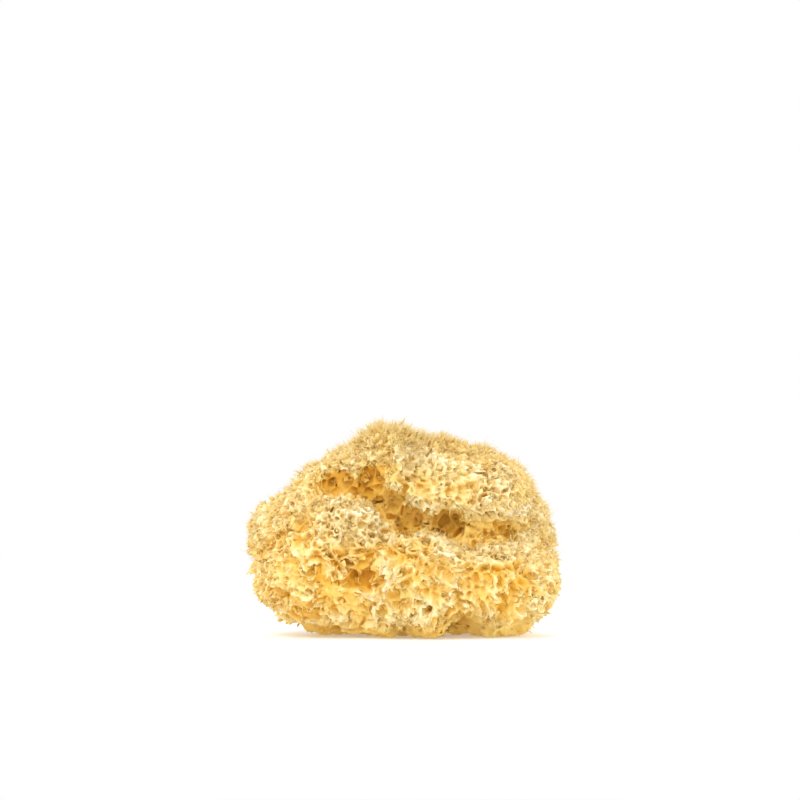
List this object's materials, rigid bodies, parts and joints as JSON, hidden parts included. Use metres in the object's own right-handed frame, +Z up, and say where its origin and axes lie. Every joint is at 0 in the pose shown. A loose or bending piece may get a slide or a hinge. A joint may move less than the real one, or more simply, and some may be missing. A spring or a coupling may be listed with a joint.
{
  "type": "sea sponge",
  "caption": "Natural sea sponge: one lobed, porous skeleton with a high crest that leans over a deep fold, and a base trimmed flat.",
  "frame": {"origin": "middle of the bounding box at the trimmed base, which rests on z = 0", "axes": "+Z up, +X along the longest side, -Y towards the side with the deep fold"},
  "size_m": [0.14, 0.106, 0.094],
  "materials": {
    "spongin": "matte, dry, fibrous and porous"
  },
  "bodies": {
    "root": {"sponge": "spongin"}
  },
  "joints": []
}
